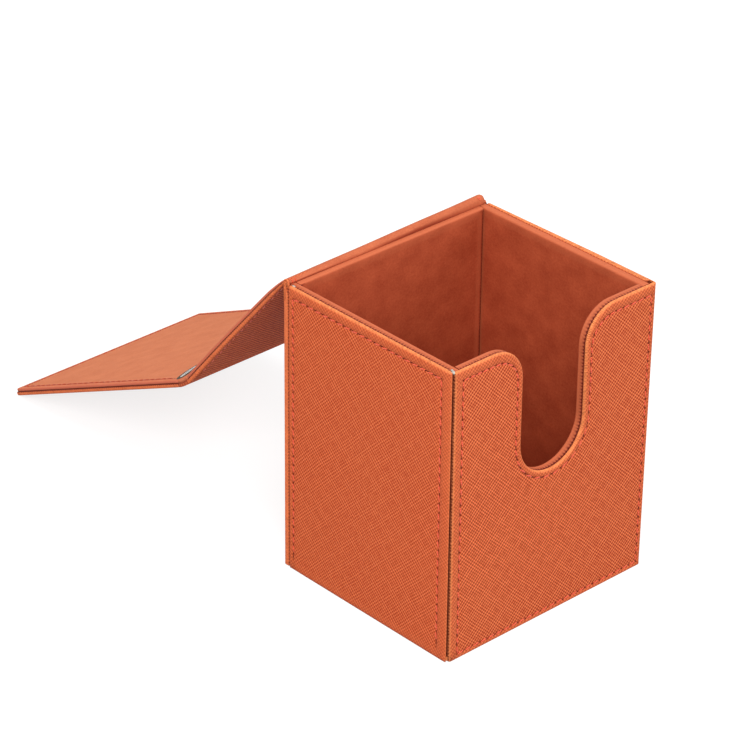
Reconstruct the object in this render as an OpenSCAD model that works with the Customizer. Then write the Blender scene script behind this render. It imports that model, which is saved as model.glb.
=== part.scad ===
// Photo storage box with a thumb notch in its front wall and a lid strip hinged along its back.
// The strip is a lid panel and a front flap. It is drawn open, as it stands on a table.
// Origin: middle of the base, on the table. X runs across the front, Y towards the back, Z up.

/* [Box] */
// Outside width of the box, across its front
box_w = 92; // [76:1:140]
// Outside depth of the box, from front face to back face
box_d = 81; // [50:1:120]
// Height of the walls
box_h = 110; // [85:1:150]

/* [Sheets] */
// Thickness of the grained leatherette outside
skin_t = 0.7; // [0.5:0.1:1]
// Thickness of the greyboard in the walls, the lid and the flap
board_t = 1.5; // [1.3:0.1:2.4]
// Thickness of the smooth lining
lining_t = 0.7; // [0.4:0.1:1]
// Thickness of the card behind the lining of the walls and the floor
card_t = 1.5; // [1:0.1:2.4]

/* [Turned edges] */
// Radius of the turned edges round the outside of the wall panels
edge_r = 1.2; // [0.6:0.1:1.6]
// Radius of the lining's turned edge along the rim
lining_r = 0.5; // [0.2:0.1:0.7]
// Radius of the turned edges along the lid strip
strip_r = 0.6; // [0.3:0.1:0.9]
// How far the side panels' leatherette stops behind the front face
corner_step = 0.6; // [0.3:0.1:1.4]

/* [Thumb notch] */
// Width of the notch between its straight sides
notch_w = 30.6; // [20:0.2:40]
// Depth of the notch below the rim
notch_depth = 53.6; // [36:0.2:68]
// Radius of the shoulders between the notch and the rim
shoulder_r = 13; // [6:0.5:17]

/* [Lid strip] */
// How much the strip is narrower than the box on each side
strip_inset = 1; // [0.4:0.1:3]
// Gap between the closed lid and the rim
lid_gap = 0.3; // [0.2:0.1:1]
// Gap between the closed flap and the front wall
flap_gap = 0.4; // [0.3:0.1:1.5]
// Height of the closed flap's free edge above the table
flap_lift = 2.9; // [1:0.1:20]
// How far the lining stops short of the strip's long edges
lining_inset = 0.3; // [0.1:0.1:1]

/* [Hinges] */
// Distance of the lid's hinge line behind the back face
hinge_out = 0.6; // [0.4:0.1:1.2]
// Height of the leather loop's centre above the rim
loop_rise = 1.3; // [0.6:0.1:1.4]
// Height of the lining ridge's centre above the rim
ridge_rise = 0.2; // [0:0.1:0.6]
// How far below the rim the back board ends
hinge_seat = 0.4; // [0.2:0.1:1]
// Play between the bent leather or lining and the board beside it
hinge_play = 0.12; // [0.08:0.02:0.3]
// How much the lining's tail is pressed thinner on each side where it goes down into the seam
tail_press = 0.05; // [0.02:0.01:0.2]
// Room that the fold leaves when the flap is at a right angle to the lid
fold_room = 0.95; // [0.5:0.05:3]

/* [Magnets] */
// Diameter of the magnets in the flap and of the plates in the front wall
disc_d = 10; // [6:0.5:16]
// Thickness of the magnets and the plates
disc_t = 1.1; // [0.6:0.1:1.2]
// Distance of each magnet from the middle of the box
disc_x = 28; // [12:0.5:29]
// Height of the closed magnets above the table
disc_z = 24; // [16:0.5:30]
// Clearance round a disc in its pocket
disc_play = 0.1; // [0.05:0.05:0.3]

/* [Stored pose] */
// Angle of the opened lid below level
lid_drop = 50.2; // [40:0.2:60]
// Angle between the lid and the flap when the box stands open
fold_rest = 25.2; // [10:0.2:40]

/* [Hidden] */

$fn = 96;
cut = 0.05;                 // how far a cutting shape runs past the face it cuts
leather_colour = "#cd6439";
lining_colour = "#a04428";
board_colour = "#b9b2a4";
disc_colour = "#a8abb0";

panel_t = skin_t + board_t;           // an outer wall panel
inner_t = card_t + lining_t;          // a lining panel
wall_t = panel_t + inner_t;           // the whole wall
front_y = -box_d / 2;
back_y = box_d / 2;
front_w = box_w - 2 * skin_t;         // the front panel stands between the side panels' skins
inside_w = box_w - 2 * wall_t;
inside_d = box_d - 2 * wall_t;

notch_r = notch_w / 2;                // the notch ends in a half circle
notch_z = box_h - notch_depth + notch_r;
shoulder_x = notch_r + shoulder_r;
shoulder_z = box_h - shoulder_r;

strip_w = box_w - 2 * strip_inset;
strip_fill = board_t + lining_t;      // what lies on the strip's leather
fold_half = skin_t / 2 + strip_fill + fold_room;

// Hinge line of the lid, and the lid's length from it to the fold line
hinge_y = back_y + hinge_out;
hinge_z = box_h + lid_gap + strip_fill;
seat_z = box_h - hinge_seat;
fold_s = hinge_out + box_d + flap_gap + skin_t / 2 + strip_fill;
lid_end = fold_s - fold_half;
flap_l = hinge_z + skin_t / 2 - flap_lift;

// Leather loop: it leaves the back panel upwards and meets the lid's leather at a tangent
loop_r = (hinge_out * sin(lid_drop) + (hinge_z - box_h - loop_rise) * cos(lid_drop) - skin_t)
    / (1 + sin(lid_drop));
loop_y = back_y + loop_r;
loop_z = box_h + loop_rise;

// Ridge: the lining leaves the seam beside the back lining and meets the lid's lining at a tangent
ridge_seam = panel_t - hinge_play;
ridge_out = (hinge_out * sin(lid_drop) + (hinge_z - box_h - ridge_rise) * cos(lid_drop)
    + strip_fill - ridge_seam) / (1 + sin(lid_drop));
ridge_r = ridge_out + ridge_seam;
ridge_y = back_y + ridge_out;
ridge_z = box_h + ridge_rise;

// Where the lid's leather begins, measured from the hinge line, and then its board and lining
lid_start = along_lid(loop_y, loop_z) + hinge_play;
lid_board_start = along_lid(ridge_y, ridge_z) + hinge_play;

// The fold's leather bends evenly between the lid and the flap
fold_r = fold_half / tan(fold_rest / 2);

// Distance along the open lid of a point beside it, given in Y and Z
function along_lid(y, z) = (y - hinge_y) * cos(lid_drop) - (z - hinge_z) * sin(lid_drop);

// Helpers

module slab(low, high) {
    translate(low) cube(high - low);
}

// Outline of what is removed to round a corner at the origin of a sheet that lies on the given sides
module edge_bite(r, side_u, side_v) {
    difference() {
        translate([side_u * (r - cut) / 2, side_v * (r - cut) / 2])
            square(r + cut, center = true);
        translate([side_u * r, side_v * r]) circle(r);
    }
}

// Rounds an edge that runs along X; the sheet lies on side_y and side_z of it
module round_x(at, length, r, side_y, side_z) {
    translate(at) rotate([90, 0, 90]) linear_extrude(length) edge_bite(r, side_y, side_z);
}

// Rounds an edge that runs along Y; the sheet lies on side_x and side_z of it
module round_y(at, length, r, side_x, side_z) {
    translate(at + [0, length, 0]) rotate([90, 0, 0]) linear_extrude(length)
        edge_bite(r, side_x, side_z);
}

// Rounds an edge that runs along Z; the sheet lies on side_x and side_y of it
module round_z(at, length, r, side_x, side_y) {
    translate(at) linear_extrude(length) edge_bite(r, side_x, side_y);
}

// Part of a ring about an axis along X, from turn_a degrees on, measured from straight down
module ring_x(at, inner_r, thickness, width, turn_a, turn) {
    translate(at) rotate([0, 90, 0]) rotate([0, 0, turn_a]) rotate_extrude(angle = turn)
        translate([inner_r, -width / 2]) square([thickness, width]);
}

// Stands a drawing in the plane of the front wall, its top side facing forwards.
// Height 0 of the drawing is where the outer panel meets the lining panel.
module stand_front() {
    translate([0, front_y + panel_t, 0]) rotate([90, 0, 0]) children();
}

// Places a drawing on the open lid: Y runs from the hinge line to the fold, Z to the lining side
module on_lid() {
    translate([0, hinge_y, hinge_z]) rotate([-lid_drop, 0, 0]) children();
}

// Places a drawing on the flap: Y runs from the fold line to the free edge, Z to the lining side
module on_flap() {
    on_lid() translate([0, fold_s, -skin_t / 2]) rotate([fold_rest, 0, 0])
        translate([0, 0, skin_t / 2]) children();
}

// Front wall

// Thumb notch, grown by the thickness that a sheet takes round it
module notch(grow) {
    translate([-notch_r - grow, notch_z]) square([2 * (notch_r + grow), box_h - notch_z + cut]);
    translate([0, notch_z]) circle(notch_r + grow);
    for (side = [-1, 1])
        difference() {
            translate([side * (notch_r + shoulder_r / 2), shoulder_z + shoulder_r / 2 + cut / 2])
                square([shoulder_r, shoulder_r + cut], center = true);
            translate([side * shoulder_x, shoulder_z]) circle(shoulder_r - grow);
        }
}

module front_outline(inset) {
    difference() {
        translate([inset - front_w / 2, inset]) square([front_w - 2 * inset, box_h - 2 * inset]);
        notch(inset);
    }
}

module inside_outline(inset) {
    difference() {
        translate([-inside_w / 2, panel_t]) square([inside_w, box_h - panel_t - inset]);
        notch(inset);
    }
}

// Rounds the rim and the notch on the top side of a sheet whose top is at height 0.
// It follows the rim, both shoulders, both straight sides and the half circle between them.
module round_rim(width, r) {
    rim_l = (width / 2) - shoulder_x;
    for (side = [-1, 1]) {
        round_x([side > 0 ? shoulder_x : -width / 2, box_h, 0], rim_l, r, -1, -1);
        round_y([side * notch_r, notch_z, 0], shoulder_z - notch_z, r, side, -1);
        translate([side * shoulder_x, shoulder_z, 0]) rotate([0, 0, side > 0 ? 90 : 0])
            rotate_extrude(angle = 90) translate([shoulder_r, 0]) edge_bite(r, -1, -1);
    }
    translate([0, notch_z, 0]) rotate([0, 0, 180]) rotate_extrude(angle = 180)
        translate([notch_r, 0]) edge_bite(r, 1, -1);
}

// Leatherette turned over the edges of the front board, all round and through the notch
module front_cover() {
    color(leather_colour) stand_front() difference() {
        linear_extrude(panel_t) front_outline(0);
        translate([0, 0, -cut]) linear_extrude(board_t + cut) front_outline(skin_t);
        translate([0, 0, panel_t]) {
            round_rim(front_w, edge_r);
            round_x([-front_w / 2, 0, 0], front_w, edge_r, 1, -1);
            for (side = [-1, 1])
                round_y([side * front_w / 2, 0, 0], box_h, edge_r, -side, -1);
        }
    }
}

module front_board() {
    color(board_colour) stand_front() difference() {
        linear_extrude(board_t) front_outline(skin_t);
        for (side = [-1, 1])
            translate([side * disc_x, disc_z, board_t - disc_t])
                cylinder(r = disc_d / 2 + disc_play, h = disc_t + cut);
    }
}

// Steel plate let into the outside of the front board
module front_plate(side) {
    color(disc_colour) stand_front() translate([side * disc_x, disc_z, board_t - disc_t])
        cylinder(r = disc_d / 2, h = disc_t);
}

module front_plate_left() { front_plate(-1); }
module front_plate_right() { front_plate(1); }

module front_card() {
    color(board_colour) stand_front() translate([0, 0, -card_t])
        linear_extrude(card_t) inside_outline(lining_t);
}

module front_lining() {
    color(lining_colour) stand_front() difference() {
        translate([0, 0, -inner_t]) linear_extrude(inner_t) inside_outline(0);
        translate([0, 0, -card_t]) linear_extrude(card_t + cut) inside_outline(lining_t);
        translate([0, 0, -inner_t]) mirror([0, 0, 1]) round_rim(inside_w, lining_r);
    }
}

// Side walls, drawn for the left and mirrored for the right

module side_board() {
    color(board_colour) slab(
        [-box_w / 2 + skin_t, front_y + panel_t + skin_t, skin_t],
        [-box_w / 2 + panel_t, back_y - panel_t - skin_t, box_h - skin_t]);
}

// Leatherette turned over the board, with a lip that covers the side edge of the front panel
module side_cover() {
    low_y = front_y + panel_t;
    high_y = back_y - panel_t;
    color(leather_colour) difference() {
        union() {
            slab([-box_w / 2, low_y, 0], [-box_w / 2 + panel_t, high_y, box_h]);
            slab([-box_w / 2, front_y + corner_step, 0], [-box_w / 2 + skin_t, low_y, box_h]);
        }
        slab([-box_w / 2 + skin_t, low_y + skin_t, skin_t],
            [-box_w / 2 + panel_t + cut, high_y - skin_t, box_h - skin_t]);
        round_y([-box_w / 2, front_y, box_h], box_d, edge_r, 1, -1);
        round_y([-box_w / 2, front_y, 0], box_d, skin_t, 1, 1);
    }
}

module side_card() {
    color(board_colour) slab(
        [-box_w / 2 + panel_t, front_y + panel_t, panel_t],
        [-inside_w / 2 - lining_t, back_y - panel_t, box_h - lining_t]);
}

module side_lining() {
    color(lining_colour) difference() {
        slab([-box_w / 2 + panel_t, front_y + panel_t, panel_t],
            [-inside_w / 2, back_y - panel_t, box_h]);
        slab([-box_w / 2 + panel_t - cut, front_y + panel_t - cut, panel_t - cut],
            [-inside_w / 2 - lining_t, back_y - panel_t + cut, box_h - lining_t]);
        round_y([-inside_w / 2, front_y, box_h], box_d, lining_r, -1, -1);
    }
}

module left_cover() { side_cover(); }
module left_board() { side_board(); }
module left_card() { side_card(); }
module left_lining() { side_lining(); }
module right_cover() { mirror([1, 0, 0]) side_cover(); }
module right_board() { mirror([1, 0, 0]) side_board(); }
module right_card() { mirror([1, 0, 0]) side_card(); }
module right_lining() { mirror([1, 0, 0]) side_lining(); }

// Back wall, the fixed end of the lid strip

module back_board() {
    color(board_colour) slab(
        [skin_t - strip_w / 2, back_y - panel_t, skin_t],
        [strip_w / 2 - skin_t, back_y - skin_t, seat_z]);
}

// Leatherette turned over the board's sides and foot; it stands up past the board to the hinge
module back_cover() {
    color(leather_colour) difference() {
        slab([-strip_w / 2, back_y - panel_t, 0], [strip_w / 2, back_y, loop_z]);
        slab([skin_t - strip_w / 2, back_y - panel_t - cut, skin_t],
            [strip_w / 2 - skin_t, back_y - skin_t, seat_z + cut]);
        slab([-strip_w / 2 - cut, back_y - panel_t - cut, seat_z],
            [strip_w / 2 + cut, back_y - skin_t, loop_z + cut]);
        round_x([-strip_w / 2, back_y, 0], strip_w, strip_r, -1, 1);
        for (side = [-1, 1])
            round_z([side * strip_w / 2, back_y, 0], loop_z + cut, strip_r, -side, -1);
    }
}

module back_card() {
    color(board_colour) slab(
        [-inside_w / 2, back_y - panel_t - card_t, panel_t],
        [inside_w / 2, back_y - panel_t, box_h - lining_t]);
}

module back_lining() {
    color(lining_colour) difference() {
        slab([-inside_w / 2, back_y - wall_t, panel_t], [inside_w / 2, back_y - panel_t, box_h]);
        slab([-inside_w / 2 - cut, back_y - panel_t - card_t, panel_t - cut],
            [inside_w / 2 + cut, back_y - panel_t + cut, box_h - lining_t]);
        round_x([-inside_w / 2, back_y - wall_t, box_h], inside_w, lining_r, 1, -1);
    }
}

// Base and floor

module base_board() {
    color(board_colour) slab(
        [-box_w / 2 + panel_t + skin_t, front_y + panel_t + skin_t, skin_t],
        [box_w / 2 - panel_t - skin_t, back_y - panel_t - skin_t, panel_t]);
}

module base_cover() {
    color(leather_colour) difference() {
        slab([-box_w / 2 + panel_t, front_y + panel_t, 0],
            [box_w / 2 - panel_t, back_y - panel_t, panel_t]);
        slab([-box_w / 2 + panel_t + skin_t, front_y + panel_t + skin_t, skin_t],
            [box_w / 2 - panel_t - skin_t, back_y - panel_t - skin_t, panel_t + cut]);
    }
}

module floor_card() {
    color(board_colour) slab(
        [lining_t - inside_w / 2, lining_t - inside_d / 2, panel_t],
        [inside_w / 2 - lining_t, inside_d / 2 - lining_t, panel_t + card_t]);
}

module floor_lining() {
    color(lining_colour) difference() {
        slab([-inside_w / 2, -inside_d / 2, panel_t], [inside_w / 2, inside_d / 2, wall_t]);
        slab([lining_t - inside_w / 2, lining_t - inside_d / 2, panel_t - cut],
            [inside_w / 2 - lining_t, inside_d / 2 - lining_t, panel_t + card_t]);
    }
}

// Rear hinge: the leather and the lining run on from the back wall and roll over to the lid

module rear_hinge_leather() {
    color(leather_colour)
        ring_x([0, loop_y, loop_z], loop_r, skin_t, strip_w, 180 - lid_drop, 90 + lid_drop);
}

// The lining's tail goes down into the seam between the back board and the back lining
module rear_hinge_lining() {
    ridge_w = strip_w - 2 * lining_inset;
    color(lining_colour) {
        slab([-ridge_w / 2, back_y - ridge_seam + tail_press, seat_z],
            [ridge_w / 2, back_y - ridge_seam + lining_t - tail_press, ridge_z + cut]);
        ring_x([0, ridge_y, ridge_z], ridge_r - lining_t, lining_t, ridge_w,
            180 - lid_drop, 90 + lid_drop);
    }
}

// Lid and flap, drawn from their fold end: Y along the strip, Z from the leather's back upwards

// Leatherette turned over the board's long edges, and over its end where there is one
module strip_cover(length, end_t) {
    difference() {
        slab([-strip_w / 2, 0, -skin_t], [strip_w / 2, length, board_t]);
        slab([skin_t - strip_w / 2, -cut, 0],
            [strip_w / 2 - skin_t, end_t > 0 ? length - end_t : length + cut, board_t + cut]);
        for (side = [-1, 1])
            round_y([side * strip_w / 2, 0, -skin_t], length, strip_r, -side, 1);
        if (end_t > 0) round_x([-strip_w / 2, length, -skin_t], strip_w, strip_r, -1, 1);
    }
}

module strip_board(length) {
    slab([skin_t - strip_w / 2, lining_t, 0], [strip_w / 2 - skin_t, length, board_t]);
}

// The lining lies on the board and turns down at the fold
module strip_lining(length) {
    lining_w = strip_w - 2 * lining_inset;
    difference() {
        union() {
            slab([-lining_w / 2, 0, board_t], [lining_w / 2, length, strip_fill]);
            slab([skin_t - strip_w / 2, 0, 0], [strip_w / 2 - skin_t, lining_t, board_t]);
        }
        round_x([-lining_w / 2, 0, strip_fill], lining_w, lining_r, 1, -1);
    }
}

module turned_from_fold() {
    on_lid() translate([0, lid_end, 0]) mirror([0, 1, 0]) children();
}

// Near the rear hinge the leather runs on past the board, without turned edges
module lid_cover() {
    color(leather_colour) turned_from_fold() difference() {
        strip_cover(lid_end - lid_start, 0);
        slab([-strip_w / 2 - cut, lid_end - lid_board_start, 0],
            [strip_w / 2 + cut, lid_end - lid_start + cut, board_t + cut]);
    }
}

module lid_board() {
    color(board_colour) turned_from_fold() strip_board(lid_end - lid_board_start);
}

module lid_lining() {
    color(lining_colour) turned_from_fold() strip_lining(lid_end - lid_board_start);
}

module flap_cover() {
    color(leather_colour) on_flap() translate([0, fold_half, 0])
        strip_cover(flap_l - fold_half, skin_t);
}

module flap_board() {
    color(board_colour) on_flap() difference() {
        translate([0, fold_half, 0]) strip_board(flap_l - fold_half - skin_t);
        for (side = [-1, 1])
            translate([side * disc_x, magnet_s, board_t - disc_t])
                cylinder(r = disc_d / 2 + disc_play, h = disc_t + cut);
    }
}

module flap_lining() {
    color(lining_colour) on_flap() translate([0, fold_half, 0])
        strip_lining(flap_l - fold_half - lining_inset);
}

// Distance of the magnets from the fold line, so that they meet the plates when the flap is closed
magnet_s = hinge_z + skin_t / 2 - disc_z;

module flap_magnet(side) {
    color(disc_colour) on_flap() translate([side * disc_x, magnet_s, board_t - disc_t])
        cylinder(r = disc_d / 2, h = disc_t);
}

module flap_magnet_left() { flap_magnet(-1); }
module flap_magnet_right() { flap_magnet(1); }

// Fold between the lid and the flap: leather outside, lining bonded to it inside

module fold_leather() {
    color(leather_colour) on_lid() ring_x([0, lid_end, fold_r - skin_t / 2],
        fold_r - skin_t / 2, skin_t, strip_w, 0, fold_rest);
}

module fold_lining() {
    color(lining_colour) on_lid() ring_x([0, lid_end, fold_r - skin_t / 2],
        fold_r - skin_t / 2 - lining_t, lining_t, strip_w - 2 * skin_t, 0, fold_rest);
}

front_cover();
front_board();
front_plate_left();
front_plate_right();
left_cover();
left_board();
right_cover();
right_board();
back_cover();
back_board();
base_cover();
base_board();
front_lining();
front_card();
back_lining();
back_card();
left_lining();
left_card();
right_lining();
right_card();
floor_lining();
floor_card();
rear_hinge_leather();
rear_hinge_lining();
lid_cover();
lid_board();
lid_lining();
fold_leather();
fold_lining();
flap_cover();
flap_board();
flap_lining();
flap_magnet_left();
flap_magnet_right();
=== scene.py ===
from collections import namedtuple
from math import atan2, cos, hypot, pi, radians, sin, sqrt, tan

import bmesh
import bpy
from mathutils import Matrix, Vector


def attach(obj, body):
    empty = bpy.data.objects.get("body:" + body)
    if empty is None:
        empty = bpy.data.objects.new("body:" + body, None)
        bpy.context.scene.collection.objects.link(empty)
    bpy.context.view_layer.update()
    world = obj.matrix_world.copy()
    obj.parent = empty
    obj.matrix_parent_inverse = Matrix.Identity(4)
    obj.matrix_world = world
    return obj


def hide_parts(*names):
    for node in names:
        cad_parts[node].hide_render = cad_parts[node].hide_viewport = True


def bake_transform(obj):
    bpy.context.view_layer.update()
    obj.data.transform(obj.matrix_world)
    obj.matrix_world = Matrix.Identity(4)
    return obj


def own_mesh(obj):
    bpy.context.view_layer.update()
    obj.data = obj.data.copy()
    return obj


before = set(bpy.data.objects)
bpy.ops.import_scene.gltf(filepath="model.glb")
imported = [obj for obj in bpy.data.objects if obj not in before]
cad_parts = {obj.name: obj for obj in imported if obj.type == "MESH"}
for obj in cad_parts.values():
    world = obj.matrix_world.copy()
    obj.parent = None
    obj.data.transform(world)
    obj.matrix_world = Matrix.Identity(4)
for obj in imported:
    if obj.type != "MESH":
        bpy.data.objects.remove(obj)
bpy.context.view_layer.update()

print("frame loaded, nodes:", len(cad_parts))

# Sizes are in millimetres and angles in degrees until a mesh is finished
box = {"width": 92, "depth": 81, "height": 110, "skin": 0.7, "panel": 2.2}
strip = {"width": 90, "lidDrop": 50.2, "foldRest": 25.2, "hingeY": 41.1, "hingeZ": 112.5,
         "lidStart": 0.85, "lidBoardStart": 2.25, "lidEnd": 81.05, "foldS": 84.55,
         "flapStart": 3.5, "flapEnd": 109.95, "fill": 1.85, "lining": 1.15}
# dent is the groove's depth at a hole; between and betweenShade are its depth and its painted
# shade midway to the next, as shares of those at a hole, and longest is the most of a gap that one
# stitch fills
seams = {"pitch": 3.85, "stitch": 3.05, "thickness": 0.64, "slant": 9, "hole": 0.48, "dent": 0.3,
         "between": 0.4, "betweenShade": 0.8, "flatten": 0.32, "aside": 0.12, "above": 0.08,
         "longest": 0.8, "holeLift": 0.03}
notch = {"radius": 14.6, "centre": 71.7, "shoulder": 13}
# the two rolls at the rear hinge: centre, outer radius and thickness
loop = {"y": 40.54, "z": 110.92, "outer": 0.74, "thick": 0.7}
ridge = {"y": 40.75, "z": 110.3, "outer": 1.9, "thick": 0.45, "taper": 0.35}
level = Matrix.Identity(4)


# Placing: local U and V lie in the sheet, and W points out of its seen side
def placeSheet(origin, u, v):
    u, v = Vector(u), Vector(v)
    turn = Matrix((u, v, u.cross(v))).transposed().to_4x4()
    return Matrix.Translation(Vector(origin)) @ turn


lidPlace = Matrix.Translation((0, strip["hingeY"], strip["hingeZ"])) @ Matrix.Rotation(
    -radians(strip["lidDrop"]), 4, "X")
flapPlace = (lidPlace @ Matrix.Translation((0, strip["foldS"], -box["skin"] / 2))
             @ Matrix.Rotation(radians(strip["foldRest"]), 4, "X")
             @ Matrix.Translation((0, 0, box["skin"] / 2)))


def keep(bm, name, place, materials, smooth=True):
    # a finished mesh goes into metres with its place in it
    bmesh.ops.transform(bm, matrix=Matrix.Scale(0.001, 4) @ place, verts=bm.verts)
    mesh = bpy.data.meshes.new(name)
    bm.to_mesh(mesh)
    bm.free()
    for material in materials:
        mesh.materials.append(material)
    mesh.polygons.foreach_set("use_smooth", [smooth] * len(mesh.polygons))
    piece = bpy.data.objects.new(name, mesh)
    bpy.context.scene.collection.objects.link(piece)
    return piece


# Node trees: put makes one node, and each of its inputs is a link or a value
def put(tree, kind, inputs=(), **settings):
    node = tree.nodes.new(kind)
    for key, value in settings.items():
        setattr(node, key, value)
    for key, value in dict(inputs).items():
        if isinstance(value, bpy.types.NodeSocket):
            tree.links.new(value, node.inputs[key])
        else:
            node.inputs[key].default_value = value
    return node


def calc(tree, operation, a, b=0.0, c=0.0):
    return put(tree, "ShaderNodeMath", {0: a, 1: b, 2: c}, operation=operation).outputs[0]


def spread(tree, value, low, high, toLow=0.0, toHigh=1.0):
    return put(tree, "ShaderNodeMapRange", {"Value": value, "From Min": low, "From Max": high,
                                            "To Min": toLow, "To Max": toHigh}).outputs[0]


def cloudy(tree, vector, scale, detail=2.0, rough=0.5):
    return put(tree, "ShaderNodeTexNoise", {"Vector": vector, "Scale": scale, "Detail": detail,
                                            "Roughness": rough}).outputs["Fac"]


def tint(tree, amount, a, b):
    # the mix node's sockets 0, 6 and 7 are the factor and the two colours
    return put(tree, "ShaderNodeMix", {0: amount, 6: a, 7: b}, data_type="RGBA").outputs[2]


def newGroup(name, inputs, outputs):
    tree = bpy.data.node_groups.new(name, "ShaderNodeTree")
    for label, kind, value in inputs:
        socket = tree.interface.new_socket(label, in_out="INPUT", socket_type=kind)
        if value is not None:
            socket.default_value = value
    for label, kind in outputs:
        tree.interface.new_socket(label, in_out="OUTPUT", socket_type=kind)
    return tree, tree.nodes.new("NodeGroupInput").outputs, tree.nodes.new("NodeGroupOutput").inputs


# Pressed cross grain: two families of fine lines, broken up, each strong in its own patches
grainGroup, gIn, gOut = newGroup("crossGrain", [
    ("Flow", "NodeSocketVector", None), ("Pitch A", "NodeSocketFloat", 0.92),
    ("Pitch B", "NodeSocketFloat", 1.15), ("Weight A", "NodeSocketFloat", 0.75),
    ("Weight B", "NodeSocketFloat", 1.0), ("Patches", "NodeSocketFloat", 0.10)],
    [("Height", "NodeSocketFloat"), ("Tone", "NodeSocketFloat")])
lines = {"drift": 0.05, "driftBy": 1.1, "patch": 0.075, "beat": 1.2, "beatShare": 0.22,
         "sharpness": 1.5, "runLength": 0.4, "weakest": 0.66}
apart = put(grainGroup, "ShaderNodeSeparateXYZ", {0: gIn["Flow"]}).outputs
drift = calc(grainGroup, "MULTIPLY", cloudy(grainGroup, gIn["Flow"], lines["drift"], 1.0),
             lines["driftBy"])
diagonal = sqrt(0.5)
uphill = calc(grainGroup, "MULTIPLY", calc(grainGroup, "ADD", apart["X"], apart["Y"]), diagonal)
downhill = calc(grainGroup, "MULTIPLY", calc(grainGroup, "SUBTRACT", apart["X"], apart["Y"]),
                diagonal)
patch = spread(grainGroup, cloudy(grainGroup, gIn["Flow"], lines["patch"], 1.5), 0.36, 0.64)
ridges = []
for across, along, family, depth, where in (
        (uphill, downhill, "A", 7.0, patch),
        (downhill, uphill, "B", 0.0, calc(grainGroup, "SUBTRACT", 1.0, patch))):
    # two close pitches beat against each other, so the lines fade in and out
    pitch = gIn["Pitch " + family]
    spot = calc(grainGroup, "MULTIPLY", calc(grainGroup, "ADD", across, drift), 2 * pi)
    true = calc(grainGroup, "SINE", calc(grainGroup, "DIVIDE", spot, pitch))
    other = calc(grainGroup, "SINE", calc(
        grainGroup, "DIVIDE", spot, calc(grainGroup, "MULTIPLY", pitch, lines["beat"])))
    wave = calc(grainGroup, "MULTIPLY_ADD", other, lines["beatShare"], calc(
        grainGroup, "MULTIPLY", true, 1 - lines["beatShare"]))
    wave = calc(grainGroup, "POWER", calc(grainGroup, "MULTIPLY_ADD", wave, 0.5, 0.5),
                lines["sharpness"])
    runs = put(grainGroup, "ShaderNodeCombineXYZ", {
        0: across, 1: calc(grainGroup, "MULTIPLY", along, lines["runLength"]),
        2: depth}).outputs[0]
    broken = spread(grainGroup, cloudy(grainGroup, runs, 1.0, 1.5), 0.34, 0.6,
                    lines["weakest"], 1.0)
    share = calc(grainGroup, "SUBTRACT", 1.0, calc(grainGroup, "MULTIPLY", where, gIn["Patches"]))
    share = calc(grainGroup, "MULTIPLY", share, gIn["Weight " + family])
    ridges.append(calc(grainGroup, "MULTIPLY", calc(grainGroup, "MULTIPLY", wave, broken), share))
fineSpeck = cloudy(grainGroup, gIn["Flow"], 2.6, 2.0)
crossed = calc(grainGroup, "MULTIPLY_ADD", calc(grainGroup, "MINIMUM", *ridges), 0.85,
               calc(grainGroup, "MAXIMUM", *ridges))
height = calc(grainGroup, "MULTIPLY_ADD", fineSpeck, 0.35, crossed)
grainGroup.links.new(height, gOut["Height"])
grainGroup.links.new(spread(grainGroup, height, 0.38, 1.16), gOut["Tone"])

# Turned edges: the leather gathers in small ribs across the edge, and a ragged dark line of
# painted shade runs along its seam
edgeGroup, eIn, eOut = newGroup("turnedEdge", [
    ("Rim", "NodeSocketVector", None), ("Rib Pitch", "NodeSocketFloat", 0.62),
    ("Tooth Pitch", "NodeSocketFloat", 1.25)],
    [("Mask", "NodeSocketFloat"), ("Ribs", "NodeSocketFloat"), ("Seam", "NodeSocketFloat")])
rim = put(edgeGroup, "ShaderNodeSeparateXYZ", {0: eIn["Rim"]}).outputs
runOnly = put(edgeGroup, "ShaderNodeCombineXYZ", {0: rim["X"]}).outputs[0]
wander = calc(edgeGroup, "MULTIPLY", cloudy(edgeGroup, runOnly, 0.5, 2.0), 1.3)


def beats(tree, along, pitch):
    return calc(tree, "SINE", calc(tree, "DIVIDE", calc(
        tree, "MULTIPLY", calc(tree, "ADD", along, wander), 2 * pi), pitch))


ribDepth = spread(edgeGroup, cloudy(edgeGroup, eIn["Rim"], 0.8, 1.0), 0.35, 0.65, 0.3, 1.0)
teeth = calc(edgeGroup, "MULTIPLY", beats(edgeGroup, rim["X"], eIn["Tooth Pitch"]), 0.28)
edgeGroup.links.new(rim["Z"], eOut["Mask"])
edgeGroup.links.new(calc(edgeGroup, "MULTIPLY", calc(
    edgeGroup, "MULTIPLY", beats(edgeGroup, rim["X"], eIn["Rib Pitch"]), ribDepth), rim["Z"]),
    eOut["Ribs"])
edgeGroup.links.new(spread(edgeGroup, calc(edgeGroup, "ADD", rim["Y"], calc(
    edgeGroup, "MULTIPLY", teeth, spread(edgeGroup, rim["Y"], 0.2, 0.5))), 0.1, 0.9),
    eOut["Seam"])

# Colour that changes slowly over a sheet, with faint rubs
wearGroup, wIn, wOut = newGroup("handling", [
    ("Flow", "NodeSocketVector", None), ("Size", "NodeSocketFloat", 0.03)],
    [("Shade", "NodeSocketFloat"), ("Rub", "NodeSocketFloat")])
wearGroup.links.new(spread(wearGroup, cloudy(wearGroup, wIn["Flow"], wIn["Size"], 3.0, 0.6),
                           0.3, 0.7), wOut["Shade"])
wearGroup.links.new(spread(wearGroup, cloudy(wearGroup, wIn["Flow"], 0.4, 4.0, 0.7),
                           0.5, 0.8), wOut["Rub"])

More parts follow.
